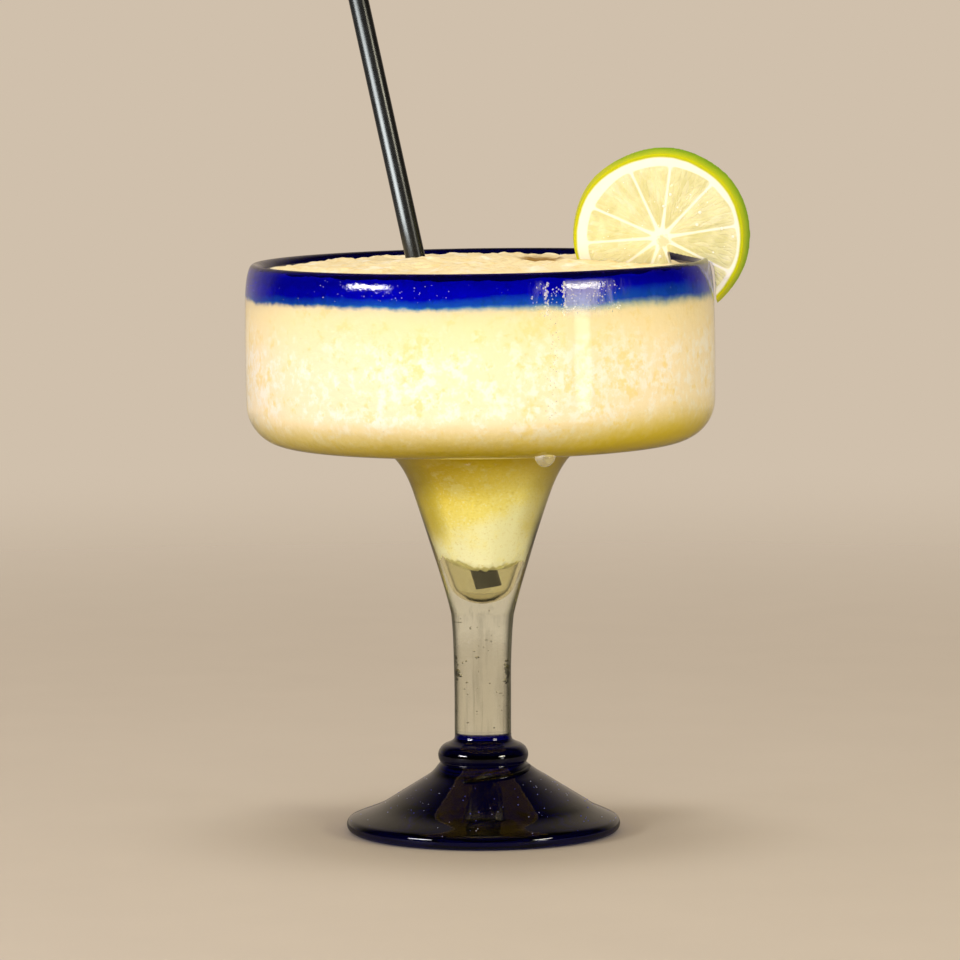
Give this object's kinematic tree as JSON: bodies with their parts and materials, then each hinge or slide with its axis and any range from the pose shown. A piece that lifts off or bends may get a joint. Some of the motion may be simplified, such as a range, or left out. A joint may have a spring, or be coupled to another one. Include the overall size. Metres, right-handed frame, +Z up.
{
  "type": "frozen margarita in a blown glass",
  "caption": "Frozen citrus slush heaped in a wide, straight-sided stemmed glass with a cobalt rim and foot, with a black straw and a lime wheel on the rim.",
  "frame": {"origin": "middle of the flat ring that the foot rests on", "axes": "+Z up along the stem, +X towards the lime wheel, -Y towards the front"},
  "size_m": [0.1371, 0.1276, 0.2612],
  "materials": {
    "clear_glass": "clear hand-blown glass with small bubbles",
    "cobalt_glass": "deep cobalt hand-blown glass, glossy",
    "slush": "pale yellow blended ice, granular and wet",
    "black_plastic": "glossy extruded plastic",
    "lime": "wet cut citrus flesh, white pith, green rind"
  },
  "bodies": {
    "root": {"bowl": "clear_glass", "rim_band": "cobalt_glass", "foot": "cobalt_glass", "drink": "slush", "straw": "black_plastic", "lime_wheel": "lime"}
  },
  "joints": []
}
